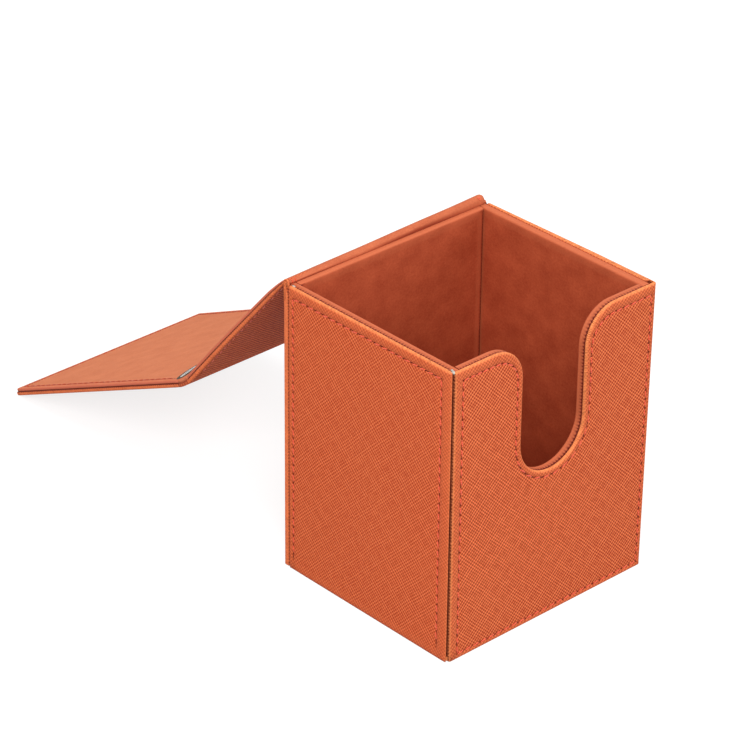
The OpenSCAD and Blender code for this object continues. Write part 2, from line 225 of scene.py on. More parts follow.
# Smooth lining with a fine, short nap
napGroup, nIn, nOut = newGroup("liningNap", [
    ("Flow", "NodeSocketVector", None), ("Grain", "NodeSocketFloat", 2.2)],
    [("Height", "NodeSocketFloat"), ("Tone", "NodeSocketFloat")])
pores = put(napGroup, "ShaderNodeTexVoronoi", {"Vector": nIn["Flow"], "Scale": nIn["Grain"]},
            feature="SMOOTH_F1").outputs["Distance"]
creases = cloudy(napGroup, nIn["Flow"], 0.12, 2.0)
napGroup.links.new(calc(napGroup, "ADD", calc(napGroup, "MULTIPLY", pores, 0.35),
                        cloudy(napGroup, nIn["Flow"], 3.5, 3.0, 0.6)), nOut["Height"])
napGroup.links.new(calc(napGroup, "ADD", calc(napGroup, "MULTIPLY", creases, 0.45), calc(
    napGroup, "MULTIPLY", cloudy(napGroup, nIn["Flow"], 1.1, 4.0, 0.8), 0.55)), nOut["Tone"])


def newMaterial(name):
    material = bpy.data.materials.new(name)
    material.use_nodes = True
    return material, material.node_tree, material.node_tree.nodes["Principled BSDF"]


def groupNode(tree, group, inputs):
    return put(tree, "ShaderNodeGroup", inputs, node_tree=group).outputs


def attributeOf(tree, name):
    return put(tree, "ShaderNodeAttribute", attribute_name=name).outputs["Vector"]


# edge is a painted highlight on the turned edges; the seam colour is painted shade in the seams
leather = {"colour": (0.980, 0.240, 0.084, 1), "groove": (0.330, 0.024, 0.003, 1),
           "edge": (1.000, 0.330, 0.110, 1), "seam": (0.130, 0.010, 0.004, 1), "rough": 0.72,
           "grainDepth": 0.00012, "ribDepth": 0.00012, "marginTone": 0.60,
           "worn": (0.80, 0.20, 0.06, 1), "gloss": 0.22}
liningLook = {"colour": (0.700, 0.218, 0.094, 1), "deep": (0.600, 0.165, 0.066, 1),
              "edge": (0.630, 0.140, 0.082, 1), "seam": (0.120, 0.009, 0.004, 1), "rough": 0.75,
              "napDepth": 0.00005, "ribDepth": 0.00004, "ribPitch": 1.1, "tooth": 1.25,
              "gloss": 0.2}


def leatherMaterial(name, look, strength=1.0):
    material, tree, shader = newMaterial(name)
    flow, rimAt = attributeOf(tree, "flow"), attributeOf(tree, "rim")
    grain = groupNode(tree, grainGroup, dict(look.get("grain", {}), Flow=flow))
    edge = groupNode(tree, edgeGroup, {"Rim": rimAt})
    handled = groupNode(tree, wearGroup, {"Flow": flow})
    flat = calc(tree, "SUBTRACT", 1.0, calc(tree, "MULTIPLY", edge["Mask"], 0.75))
    calm = calc(tree, "MULTIPLY", spread(tree, edge["Mask"], 0.0, 0.25), 0.4)
    tone = calc(tree, "MULTIPLY_ADD", calc(tree, "SUBTRACT", look["marginTone"], grain["Tone"]),
                calm, grain["Tone"])
    colour = tint(tree, tone, look["groove"], look["colour"])
    colour = tint(tree, calc(tree, "MULTIPLY", handled["Shade"], 0.10), colour, look["worn"])
    # painted highlight on the turned edges
    colour = tint(tree, spread(tree, edge["Mask"], 0.35, 0.95, 0.0, 0.75), colour, look["edge"])
    colour = tint(tree, spread(tree, edge["Ribs"], -0.9, 0.1, 0.45, 0.0), colour, look["groove"])
    # painted shade along the seams
    colour = tint(tree, edge["Seam"], colour, look["seam"])
    tree.links.new(colour, shader.inputs["Base Color"])
    rough = calc(tree, "ADD", look["rough"], calc(tree, "MULTIPLY", handled["Rub"], 0.1))
    tree.links.new(rough, shader.inputs["Roughness"])
    high = calc(tree, "MULTIPLY", calc(tree, "MULTIPLY", grain["Height"], flat), strength)
    ribs = put(tree, "ShaderNodeBump", {"Height": edge["Ribs"], "Distance": look["ribDepth"],
                                        "Strength": 1.0}).outputs[0]
    bump = put(tree, "ShaderNodeBump", {"Height": high, "Distance": look["grainDepth"],
                                        "Strength": 1.0, "Normal": ribs}).outputs[0]
    tree.links.new(bump, shader.inputs["Normal"])
    shader.inputs["Specular IOR Level"].default_value = look["gloss"]
    return material


def liningMaterial(name, look):
    material, tree, shader = newMaterial(name)
    flow, rimAt = attributeOf(tree, "flow"), attributeOf(tree, "rim")
    nap = groupNode(tree, napGroup, {"Flow": flow})
    edge = groupNode(tree, edgeGroup, {"Rim": rimAt, "Rib Pitch": look["ribPitch"],
                                       "Tooth Pitch": look["tooth"]})
    handled = groupNode(tree, wearGroup, {"Flow": flow, "Size": 0.05})
    colour = tint(tree, spread(tree, nap["Tone"], 0.36, 0.64), look["deep"], look["colour"])
    colour = tint(tree, calc(tree, "MULTIPLY", handled["Shade"], 0.15), colour, look["deep"])
    colour = tint(tree, calc(tree, "MULTIPLY", edge["Mask"], 0.8), colour, look["edge"])
    # painted shade along the seams
    colour = tint(tree, edge["Seam"], colour, look["seam"])
    tree.links.new(colour, shader.inputs["Base Color"])
    tree.links.new(calc(tree, "ADD", look["rough"], calc(tree, "MULTIPLY", handled["Rub"], 0.12)),
                   shader.inputs["Roughness"])
    ribs = put(tree, "ShaderNodeBump", {"Height": edge["Ribs"], "Distance": look["ribDepth"],
                                        "Strength": 1.0}).outputs[0]
    bump = put(tree, "ShaderNodeBump", {"Height": nap["Height"], "Distance": look["napDepth"],
                                        "Strength": 1.0, "Normal": ribs}).outputs[0]
    tree.links.new(bump, shader.inputs["Normal"])
    shader.inputs["Specular IOR Level"].default_value = look["gloss"]
    return material


outerLeather = leatherMaterial("crossGrainLeatherette", leather)
softLeather = leatherMaterial("softGrainLeatherette", dict(
    leather, colour=(0.880, 0.197, 0.067, 1), groove=(0.420, 0.042, 0.008, 1),
    grain={"Pitch A": 1.15, "Pitch B": 0.92, "Weight A": 1.0, "Weight B": 0.75}), 0.8)
strapLeather = leatherMaterial("strapLeatherette", dict(leather, edge=(1.000, 0.235, 0.078, 1)))
# the lining inside the box is a darker copy of the strip's lining: painted shade for the inside of
# the box
shadedInsideLining = liningMaterial("shadedInsideLining", dict(
    liningLook, colour=(0.51, 0.095, 0.036, 1), deep=(0.34, 0.050, 0.017, 1),
    edge=(0.60, 0.150, 0.062, 1)))
# the roll at the hinge is a darker copy of the lining, painted shade against the light from above;
# its seam colour paints the shade line at its foot
shadedRidgeLining = liningMaterial("shadedRidgeLining", dict(
    liningLook, colour=(0.600, 0.160, 0.060, 1), deep=(0.380, 0.080, 0.026, 1), tooth=60.0,
    seam=(0.270, 0.040, 0.014, 1)))
stripLining = liningMaterial("stripLining", liningLook)


def plainMaterial(name):
    # a new material and the spot on the object that its pattern follows
    material, tree, shader = newMaterial(name)
    return material, tree, shader, put(tree, "ShaderNodeTexCoord").outputs["Object"]


def threadMaterial(name, dark, pale, gloss=0.45):
    material, tree, shader, spot = plainMaterial(name)
    plies = put(tree, "ShaderNodeTexWave", {"Vector": spot, "Scale": 900.0, "Distortion": 2.0,
                                            "Detail": 1.0}, wave_type="BANDS",
                bands_direction="DIAGONAL").outputs["Fac"]
    colour = tint(tree, plies, dark, pale)
    tree.links.new(colour, shader.inputs["Base Color"])
    shader.inputs["Roughness"].default_value = 0.42
    shader.inputs["Specular IOR Level"].default_value = gloss
    tree.links.new(put(tree, "ShaderNodeBump", {"Height": plies, "Distance": 0.00008,
                                                "Strength": 0.6}).outputs[0],
                   shader.inputs["Normal"])
    return material


# needle holes: dark discs of painted shade laid over each hole
def holeShadeMaterial():
    material, tree, shader, spot = plainMaterial("needleHoleShade")
    colour = tint(tree, cloudy(tree, spot, 900.0), (0.110, 0.006, 0.002, 1),
                  (0.210, 0.014, 0.005, 1))
    tree.links.new(colour, shader.inputs["Base Color"])
    shader.inputs["Roughness"].default_value = 0.9
    shader.inputs["Specular IOR Level"].default_value = 0.1
    return material


def boardMaterial(name, dark, pale):
    material, tree, shader, spot = plainMaterial(name)
    fibres = cloudy(tree, spot, 1400.0, 4.0, 0.7)
    flecks = spread(tree, cloudy(tree, spot, 500.0, 2.0), 0.62, 0.7)
    colour = tint(tree, fibres, dark, pale)
    colour = tint(tree, flecks, colour, (0.22, 0.19, 0.16, 1))
    tree.links.new(colour, shader.inputs["Base Color"])
    shader.inputs["Roughness"].default_value = 0.9
    tree.links.new(put(tree, "ShaderNodeBump", {"Height": fibres, "Distance": 0.00012,
                                                "Strength": 0.7}).outputs[0],
                   shader.inputs["Normal"])
    return material


def discMaterial(name, dark, pale, rough):
    material, tree, shader, spot = plainMaterial(name)
    scratches = cloudy(tree, put(tree, "ShaderNodeMapping", {
        "Vector": spot, "Scale": (300.0, 300.0, 4000.0)}).outputs[0], 1.0, 4.0)
    tree.links.new(tint(tree, scratches, dark, pale), shader.inputs["Base Color"])
    tree.links.new(spread(tree, scratches, 0.3, 0.7, rough - 0.08, rough + 0.1),
                   shader.inputs["Roughness"])
    shader.inputs["Metallic"].default_value = 1.0
    return material


threadLook = threadMaterial("sewingThread", (0.70, 0.048, 0.018, 1), (0.95, 0.165, 0.070, 1))
stripThread = threadMaterial("stripThread", (0.30, 0.022, 0.008, 1), (0.56, 0.085, 0.030, 1),
                             gloss=0.1)
holeShadeLook = holeShadeMaterial()
boardLook = boardMaterial("greyboard", (0.36, 0.33, 0.28, 1), (0.56, 0.53, 0.47, 1))
paleBoard = boardMaterial("paleBoard", (0.62, 0.61, 0.58, 1), (0.85, 0.85, 0.83, 1))
slitShade = boardMaterial("slitShade", (0.030, 0.020, 0.010, 1), (0.080, 0.050, 0.030, 1))
steelLook = discMaterial("rolledSteel", (0.42, 0.42, 0.43, 1), (0.60, 0.60, 0.61, 1), 0.4)
magnetLook = discMaterial("platedMagnet", (0.52, 0.52, 0.55, 1), (0.72, 0.72, 0.74, 1), 0.28)
print("materials made:", len(bpy.data.materials))

# Sheets turned over a board are made of rings. One step of an edge's profile gives a ring's inset
# and height there, whether it is sewn or turned over, and how dark its painted shade is. A station
# is one corner of a ring.
Step = namedtuple("Step", "inset high sewn turned dark")
Station = namedtuple("Station", "u v high sewn turned side step dark")
sewnRing, turnRing = 2, 5


def line(a, b):
    a, b = Vector(a), Vector(b)
    return {"kind": "line", "a": a, "b": b, "length": (b - a).length}


def arc(centre, radius, start, turn, inside):
    return {"kind": "arc", "centre": Vector(centre), "radius": radius, "start": radians(start),
            "turn": radians(turn), "inside": inside, "length": abs(radians(turn)) * radius}


def squareSides(lowU, lowV, highU, highV):
    return [line((lowU, lowV), (highU, lowV)), line((highU, lowV), (highU, highV)),
            line((highU, highV), (lowU, highV)), line((lowU, highV), (lowU, lowV))]


def notchedSides(lowU, lowV, highU, highV):
    r, z, bend = notch["radius"], notch["centre"], notch["shoulder"]
    shoulder, start = r + bend, highV - bend
    return [line((lowU, lowV), (highU, lowV)), line((highU, lowV), (highU, highV)),
            line((highU, highV), (shoulder, highV)), arc((shoulder, start), bend, 90, 90, True),
            line((r, start), (r, z)), arc((0, z), r, 0, -180, False),
            line((-r, z), (-r, start)), arc((-shoulder, start), bend, 0, 90, True),
            line((-shoulder, highV), (lowU, highV)), line((lowU, highV), (lowU, lowV))]


def profile(kind, margin, thick, outerR, innerR, sewn, lip=1.6, seamDark=(0, 0.7, 1),
            plump=1.0):
    # steps from the middle of the sheet to the far side of its edge
    puff = 0.2 * plump if sewn else 0.03
    shoulder = max(margin - 0.5, outerR + (margin - outerR) * 0.55)
    steps = [(margin + 2.0, 0, 0, 0, 0), (margin + 0.55, 0.02, 0, 0, 0),
             (margin, 0, 1 if sewn else 0, 0.1, 0), (shoulder, puff * 0.6, 0, 0.25, 0),
             (outerR + (shoulder - outerR) * 0.5, puff, 0, 0.3, 0)]
    # a step's last value is painted shade, deepest in the seam under the turned edge
    if kind == "lip":
        steps += [(0.4, 0, 0, 0.4, 0), (0.12, -0.1, 0, 0.5, 0), (0, -0.25, 0, 0.5, 0.1),
                  (0.15, -0.45, 0, 0.3, 0.6), (0.45, -0.7, 0, 0, 1), (lip, -0.7, 0, 0, 1),
                  (lip, -1.4, 0, 0, 1), (lip, -thick, 0, 0, 1)]
    elif kind == "runsOn":
        steps += [(0, 0, 0, 0.2, 0), (0, -0.15, 0, 0.2, 0), (0, -0.35, 0, 0.2, 0),
                  (0, -0.55, 0, 0.2, 0), (0, -0.7, 0, 0.2, 0), (lip, -0.7, 0, 0.2, 0.5),
                  (lip, -1.4, 0, 0, 1), (lip, -thick, 0, 0, 1)]
    else:
        square = kind in ("cut", "seam")
        outerR = {"cut": 0.12, "seam": 0.8, "foot": 0.3, "sole": 0.3}.get(kind, outerR)
        # painted shade in the corner groove, and a painted contact shadow along the sole
        shade = {"groove": (0, 0, 0.15, 0.6, 1), "sole": (0.3, 0.9, 1, 1, 1)}.get(kind, (0,) * 5)
        for k in range(5):
            a = radians(22.5 * k)
            dark = shade[k]
            if kind == "seam":
                dark = min(1, 0.3 + 0.7 * k)
            elif square:
                dark = min(1, 0.7 * k)
            steps.append((outerR * (1 - sin(a)), puff * (1 - k / 4) - outerR * (1 - cos(a)), 0,
                          0 if square else min(1, 0.35 + 0.2 * k), dark))
        for k in range(3):
            a = radians(45 * k)
            steps.append((innerR * (1 - cos(a)), -thick + innerR * (1 - sin(a)), 0,
                          0 if square else 1 - 0.3 * k, 1 if square else seamDark[k]))
    steps.append((steps[-1][0] + 1.5, -thick, 0, 0, 1))
    return [Step(*step) for step in steps]


def sideStations(side):
    return 2 * max(1, round(side["length"] / seams["pitch"]))


def ringStations(sides, profiles, ring, cornerR):
    # where one ring of the sheet runs
    count = len(sides)
    found = []
    for n, side in enumerate(sides):
        at = profiles[n][ring]
        before, after = (n - 1) % count, (n + 1) % count
        prior, following = profiles[before][ring], profiles[after][ring]
        steps = sideStations(side)
        if side["kind"] == "arc":
            for i in range(steps):
                t = i / steps
                d = prior.inset + (following.inset - prior.inset) * t * t * (3 - 2 * t)
                r = side["radius"] - d if side["inside"] else side["radius"] + d
                a = side["start"] + side["turn"] * t
                found.append(Station(side["centre"][0] + r * cos(a),
                                     side["centre"][1] + r * sin(a),
                                     at.high, at.sewn, at.turned, n, i, at.dark))
            continue
        along = (side["b"] - side["a"]).normalized()
        inward = Vector((-along[1], along[0]))
        start, end = side["a"] + inward * at.inset, side["b"] + inward * at.inset
        square = {}
        for which, m in (("start", before), ("end", after)):
            if sides[m]["kind"] == "line":
                otherInset = profiles[m][ring].inset
                r = max(cornerR - (at.inset + otherInset) / 2, 0)
                square[which] = r
                if which == "start":
                    start = start + along * (otherInset + r)
                else:
                    end = end - along * (otherInset + r)
        smoothEnd = "end" not in square
        for i in range(steps + (0 if smoothEnd else 1)):
            p = start + (end - start) * (i / steps)
            high, sewn = at.high, at.sewn
            if i == 0 and "start" in square:
                high, sewn = (at.high + prior.high) / 2, min(at.sewn, prior.sewn)
            if i == steps:
                high, sewn = (at.high + following.high) / 2, min(at.sewn, following.sewn)
            found.append(Station(p[0], p[1], high, sewn, at.turned, n, i, at.dark))
        if not smoothEnd:
            r = square["end"]
            middle = end + inward * r + along * r * sin(pi / 4) - inward * r * cos(pi / 4)
            found.append(Station(middle[0], middle[1], (at.high + following.high) / 2, 0,
                                 at.turned, n, -1, at.dark))
    return found


def sheetLayers(bm):
    # flow is the place on the flat sheet; rim holds the run along an edge, its painted shade and
    # its turn
    return (bm.verts.layers.float_vector.new("flow"), bm.verts.layers.float_vector.new("rim"))


def turnedSheet(name, sides, place, body, nodes, material, kinds=None, margins=None, thick=2.2,
                outerR=1.1, innerR=0.7, cornerR=0.45, lip=1.6, slot=None,
                seamDark=(0, 0.7, 1), plump=1.0):
    kinds = kinds or ["turned"] * len(sides)
    margins = margins or [None] * len(sides)
    unsewnMargin = 3.2
    profiles = [profile(kinds[n], margins[n] or unsewnMargin, thick, outerR, innerR,
                        bool(margins[n]), lip, seamDark, plump) for n in range(len(sides))]
    rings = [ringStations(sides, profiles, k, cornerR) for k in range(len(profiles[0]))]
    bm = bmesh.new()
    flow, rimAt = sheetLayers(bm)

    def settle(tips, ring):
        run = 0.0
        for i, (v, s) in enumerate(zip(tips, rings[ring])):
            dent, dark = 0.0, s.dark
            # a stitch row is a groove of painted shade, darkest at the holes
            if s.sewn:
                atHole = s.step % 2 == 0
                dent = -seams["dent"] * plump * (1 if atHole else seams["between"])
                dark = 1.0 if atHole else seams["betweenShade"]
            v.co = (s.u, s.v, s.high + dent)
            base, last = rings[turnRing][i], rings[turnRing][i - 1]
            if i:
                run += hypot(base.u - last.u, base.v - last.v)
            v[flow] = (s.u, s.v, 0)
            if ring > turnRing:
                reach = hypot(s.u - base.u, s.v - base.v, s.high - base.high)
                out = Vector((s.u - base.u, s.v - base.v))
                out = out.normalized() if out.length > 1e-6 else Vector((0, 0))
                v[flow] = (base.u + out[0] * reach, base.v + out[1] * reach, 0)
            v[rimAt] = (run, dark, s.turned)

    tips = [bm.verts.new((s.u, s.v, s.high)) for s in rings[0]]
    settle(tips, 0)
    edges = [bm.edges.new((tips[i - 1], tips[i])) for i in range(len(tips))]
    bmesh.ops.edgeloop_fill(bm, edges=edges)
    for ring in range(1, len(rings)):
        made = bmesh.ops.extrude_edge_only(bm, edges=edges)["geom"]
        fresh = {g for g in made if isinstance(g, bmesh.types.BMVert)}
        tips = [next(e.other_vert(v) for e in v.link_edges if e.other_vert(v) in fresh)
                for v in tips]
        settle(tips, ring)
        edges = [bm.edges.get((tips[i - 1], tips[i])) for i in range(len(tips))]
    bmesh.ops.edgeloop_fill(bm, edges=edges)
    bmesh.ops.remove_doubles(bm, verts=bm.verts, dist=0.004)
    bmesh.ops.recalc_face_normals(bm, faces=bm.faces)
    piece = keep(bm, name, place, [material])
    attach(piece, body)
    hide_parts(*nodes)
    return piece, rings[sewnRing]


def sewRow(bm, holes, up, lift=0.12, wide=1.0, pricked=True):
    # one run of stitches through a list of holes; up is the sheet's outward direction
    for a, b in zip(holes, holes[1:]):
        a, b = Vector(a), Vector(b)
        along = (b - a).normalized()
        side = up.cross(along)
        along = (along + side * tan(radians(seams["slant"]))).normalized()
        side = up.cross(along)
        middle = (a + b) / 2 + up * lift + side * seams["aside"]
        turn = Matrix((side, up, along)).transposed().to_4x4()
        shape = Matrix.Diagonal((seams["thickness"] / 2 * wide,
                                 seams["thickness"] * seams["flatten"],
                                 min(seams["stitch"], (b - a).length * seams["longest"]) / 2, 1))
        bmesh.ops.create_uvsphere(bm, u_segments=6, v_segments=5, radius=1,
                                  matrix=Matrix.Translation(middle) @ turn @ shape)
    for h in holes if pricked else ():
        flat = Vector((0, 0, 1)).rotation_difference(up).to_matrix().to_4x4()
        spot = Matrix.Translation(Vector(h) + up * seams["holeLift"])
        made = bmesh.ops.create_circle(bm, cap_ends=True, segments=7, radius=seams["hole"],
                                       matrix=spot @ flat)
        for f in made["verts"][0].link_faces:
            f.material_index = 1


def sewSheet(name, stations, place, body, lift=0.2, thread=None, wide=1.0, plump=1.0):
    bm = bmesh.new()
    rows = {}
    for s in stations:
        if s.sewn and s.step % 2 == 0 and s.step >= 0:
            rows.setdefault(s.side, []).append((s.u, s.v, s.high - seams["dent"] * plump))
    # a row goes on into the next side's first hole where the seam is unbroken
    for n in sorted(rows):
        holes = rows[n]
        follow = rows.get(n + 1)
        if follow and 0.3 < (Vector(follow[0]) - Vector(holes[-1])).length < 2 * seams["pitch"]:
            holes = holes + [follow[0]]
        sewRow(bm, holes, Vector((0, 0, 1)), lift=lift + seams["above"], wide=wide)
    piece = keep(bm, name, place, [thread or threadLook, holeShadeLook])
    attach(piece, body)
    return piece


# Outer sheets: how far each row of stitches lies from its edge
front = {"left": 3.5, "right": 1.9, "top": 3.9, "notch": 2.3, "foot": 1.7}
wall = {"top": 3.9, "front": 4.6, "rear": 2.2}
halfW, halfD, tall = box["width"] / 2, box["depth"] / 2, box["height"]
proud, cover = 0.3, 1.3  # how far the padded covers stand out, and how thick their edges look
padded = {"thick": cover, "outerR": 0.75, "innerR": 0.5}
# the wall leans from the rear forwards; the front panel follows it over its last stretch
flare = {"top": 0.9, "from": 28, "over": 16, "frontDepth": 2, "edge": 1.0, "edgeOver": 1.2,
         "rear": 38, "length": 50}
frontGap = {"left": 0.12, "right": 0.2}


def flareOut(piece):
    # the right wall leans out a little towards its upper front corner
    for v in piece.data.vertices:
        x, y, z = v.co * 1000
        if x > flare["from"]:
            inner = halfW - flare["edge"]
            if y < flare["frontDepth"] - halfD:
                share = min(1, (x - flare["from"]) / flare["over"])
            else:
                share = min(1, max(0, (x - inner) / flare["edgeOver"]))
            forward = min(1, max(0, (flare["rear"] - y) / flare["length"]))
            v.co.x += 0.001 * flare["top"] * max(0, z) / tall * share * forward


frontSides = notchedSides(-halfW + box["skin"] + frontGap["left"], 0, halfW - frontGap["right"],
                          tall + proud)
frontPlace = placeSheet((0, -halfD - proud, 0), (1, 0, 0), (0, 0, 1))
sheet, sewn = turnedSheet(
    "frontSheet", frontSides, frontPlace, "box", ["front_cover"], outerLeather,
    kinds=["foot"] + ["turned"] * 8 + ["groove"],
    margins=[front["foot"], front["right"], front["top"]] + [front["notch"]] * 5
    + [front["top"], front["left"]], **padded)
flareOut(sheet)
flareOut(sewSheet("frontThread", sewn, frontPlace, "box"))

# side walls: the skin runs forward past the board as a lip beside the front panel
lipReach, rearReach = 40.2, 38.3
leftPlace = placeSheet((-halfW - proud, 0, 0), (0, -1, 0), (0, 0, 1))
rightPlace = placeSheet((halfW + proud, 0, 0), (0, 1, 0), (0, 0, 1))
sheet, sewn = turnedSheet(
    "leftSheet", squareSides(-rearReach, 0, lipReach, tall + proud), leftPlace, "box",
    ["left_cover"], softLeather, kinds=["sole", "lip", "turned", "turned"],
    margins=[None, wall["front"], wall["top"], wall["rear"]], **padded)
sewSheet("leftThread", sewn, leftPlace, "box")
sheet, sewn = turnedSheet(
    "rightSheet", squareSides(-lipReach, 0, rearReach, tall + proud), rightPlace, "box",
    ["right_cover"], outerLeather, kinds=["foot", "turned", "turned", "lip"],
    margins=[None, wall["rear"], wall["top"], wall["front"]], seamDark=(0, 0, 0.4),
    **dict(padded, innerR=0.3))
flareOut(sheet)
flareOut(sewSheet("rightThread", sewn, rightPlace, "box"))

halfStrip = strip["width"] / 2
backPlace = placeSheet((0, halfD + proud, 0), (-1, 0, 0), (0, 0, 1))
backOver = 0.2
sheet, sewn = turnedSheet(
    "backSheet", squareSides(-halfW - backOver, 0, halfW + backOver, loop["z"]), backPlace, "box",
    ["back_cover"], strapLeather, kinds=["foot", "turned", "runsOn", "turned"],
    margins=[2.5, 2.5, 6.0, 2.5], outerR=0.7, lip=1.3, thick=2.5)
sagAt = {"near": 1.4, "far": -0.9}


def sagBack(piece, least=0.25, low=100.0, over=10.0):
    # the strip's bend sits a little lower at the near end
    for v in piece.data.vertices:
        share = min(1, max(0, v.co.z * 1000 - low) / over)
        along = 0.5 - v.co.x * 1000 / strip["width"]
        sag = max(least, sagAt["far"] + (sagAt["near"] - sagAt["far"]) * along)
        v.co.z -= 0.001 * share * sag


sagBack(sheet)
sagBack(sewSheet("backThread", sewn, backPlace, "box"))

basePlace = placeSheet((0, 0, 0), (1, 0, 0), (0, -1, 0))
base = {"side": 45.4, "rear": 38.3, "front": 40.1}
turnedSheet("baseSheet", squareSides(-base["side"], -base["rear"], base["side"], base["front"]),
            basePlace, "box", ["base_cover"], outerLeather, outerR=0.5)
print("outer sheets made")

# Lining panels inside: only the rim is turned over, and the other edges meet a neighbour along a
# line of painted shade
innerW, innerD, sideReach = 42.2, 36.7, 39.4
liningThick = halfW + proud - cover - innerW
liningSheet = {"outerR": 0.6, "innerR": 0.6, "cornerR": 0.3}
panel = box["panel"]


def liningPanel(name, sides, place, node, **more):
    kinds = ["seam", "seam"] + ["turned"] * (len(sides) - 3) + ["seam"]
    values = dict(liningSheet, thick=liningThick, slot="smooth_lining", kinds=kinds)
    values.update(more)
    turnedSheet(name, sides, place, "box", [node], shadedInsideLining, **values)


liningPanel("frontLining", notchedSides(-innerW, panel, innerW, tall),
            placeSheet((0, -innerD, 0), (-1, 0, 0), (0, 0, 1)), "front_lining",
            seamDark=(0.45, 1, 1))
liningPanel("backLining", squareSides(-innerW, panel, innerW, tall),
            placeSheet((0, innerD, 0), (1, 0, 0), (0, 0, 1)), "back_lining",
            seamDark=(0, 0.5, 1))
liningPanel("leftLining", squareSides(-sideReach, panel, sideReach, tall),
            placeSheet((-innerW, 0, 0), (0, 1, 0), (0, 0, 1)), "left_lining",
            seamDark=(0.45, 1, 1))
liningPanel("rightLining", squareSides(-sideReach, panel, sideReach, tall),
            placeSheet((innerW, 0, 0), (0, -1, 0), (0, 0, 1)), "right_lining",
            innerR=0.3, seamDark=(0, 0, 0.4))
liningPanel("floorLining", squareSides(-innerW, -innerD, innerW, innerD),
            placeSheet((0, 0, 2 * panel), (1, 0, 0), (0, 1, 0)), "floor_lining",
            kinds=["seam"] * 4, thick=panel)
print("lining panels made")

# Lid and flap: one strip, stitched through along its edges. The lid is bowed in its place, more on
# its lining side; through is the strip's thickness there.
bow = {"leather": 0.7, "lining": 1.45, "reach": 60, "power": 1.3, "skive": 1.5, "skiveReach": 16,
       "through": 2.9}
stripSkin = {"thick": 1.4, "outerR": 0.6, "innerR": 0.45, "seamDark": (0.2, 1, 1)}
stripInside = {"thick": strip["lining"], "outerR": 0.5, "innerR": 0.3, "plump": 0.35,
               "slot": "smooth_lining"}
insideSewn = {"lift": 0.06, "thread": stripThread, "wide": 2.0, "plump": 0.35}
skinMargin, insideMargin, inset = 2.5, 2.2, 0.3


def bowLid(piece):
    # the open lid hangs a little lower at the hinge, and its board is pressed thin there
    back = (Matrix.Scale(0.001, 4) @ lidPlace).inverted()
    ahead = back.inverted()
    for v in piece.data.vertices:
        p = back @ v.co
        through = min(1, max(0, (p.z + box["skin"]) / bow["through"]))
        hang = max(0, 1 - p.y / bow["reach"]) ** bow["power"]
        p.z -= (bow["leather"] + (bow["lining"] - bow["leather"]) * through) * hang
        p.z -= bow["skive"] * through * max(0, 1 - p.y / bow["skiveReach"]) ** 2
        v.co = ahead @ p


lidUnder = lidPlace @ placeSheet((0, 0, -box["skin"]), (1, 0, 0), (0, -1, 0))
lidTop = lidPlace @ placeSheet((0, 0, strip["fill"]), (1, 0, 0), (0, 1, 0))
flapUnder = flapPlace @ placeSheet((0, 0, -box["skin"]), (1, 0, 0), (0, -1, 0))
flapTop = flapPlace @ placeSheet((0, 0, strip["fill"]), (1, 0, 0), (0, 1, 0))

sheet, sewn = turnedSheet(
    "lidSheet", squareSides(-halfStrip, -strip["lidEnd"], halfStrip, -strip["lidStart"]),
    lidUnder, "lid", ["lid_cover"], strapLeather, kinds=["cut", "turned", "runsOn", "turned"],
    margins=[None, skinMargin, None, skinMargin], lip=1.3, **stripSkin)
bowLid(sheet)
bowLid(sewSheet("lidThread", sewn, lidUnder, "lid"))
sheet, sewn = turnedSheet(
    "lidLining", squareSides(-halfStrip + inset, strip["lidBoardStart"], halfStrip - inset,
                             strip["lidEnd"]),
    lidTop, "lid", ["lid_lining", "lid_board"], stripLining, cornerR=0.3,
    margins=[None, insideMargin, None, insideMargin], **stripInside)
bowLid(sheet)
bowLid(sewSheet("lidLiningThread", sewn, lidTop, "lid", **insideSewn))

sheet, sewn = turnedSheet(
    "flapSheet", squareSides(-halfStrip, -strip["flapEnd"], halfStrip, -strip["flapStart"]),
    flapUnder, "flap", ["flap_cover"], strapLeather, kinds=["turned", "turned", "cut", "turned"],
    margins=[skinMargin, skinMargin, None, skinMargin], **stripSkin)
sewSheet("flapThread", sewn, flapUnder, "flap")
sheet, sewn = turnedSheet(
    "flapLining", squareSides(-halfStrip + inset, strip["flapStart"], halfStrip - inset,
                              strip["flapEnd"] - inset),
    flapTop, "flap", ["flap_lining"], stripLining, cornerR=0.6,
    margins=[None, insideMargin, insideMargin, insideMargin], **stripInside)
sewSheet("flapLiningThread", sewn, flapTop, "flap", **insideSewn)
print("lid and flap made")


